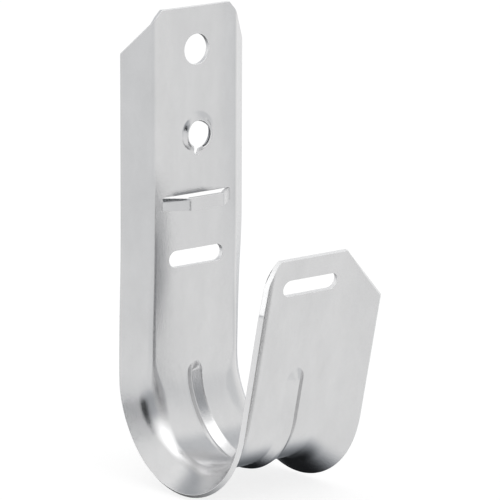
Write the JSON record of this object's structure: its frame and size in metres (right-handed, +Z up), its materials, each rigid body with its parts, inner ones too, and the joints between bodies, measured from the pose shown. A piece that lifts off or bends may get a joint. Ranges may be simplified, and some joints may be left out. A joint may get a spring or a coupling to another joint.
{
  "type": "j hook cable support",
  "caption": "One-piece pressed steel J hook: a flanged back to screw to a wall, a wide rounded loop and a leaning tongue, carrying bundles of data cable.",
  "frame": {"origin": "centre of the mounting hole, on the cable face of the back's web", "axes": "+X across the strip, +Y from the cable side towards the wall, +Z up the back"},
  "size_m": [0.0362, 0.053, 0.1107],
  "materials": {
    "zinc_coated_steel": "zinc coated sheet, satin with a faint mottle"
  },
  "bodies": {
    "root": {"j_hook": "zinc_coated_steel"}
  },
  "joints": []
}
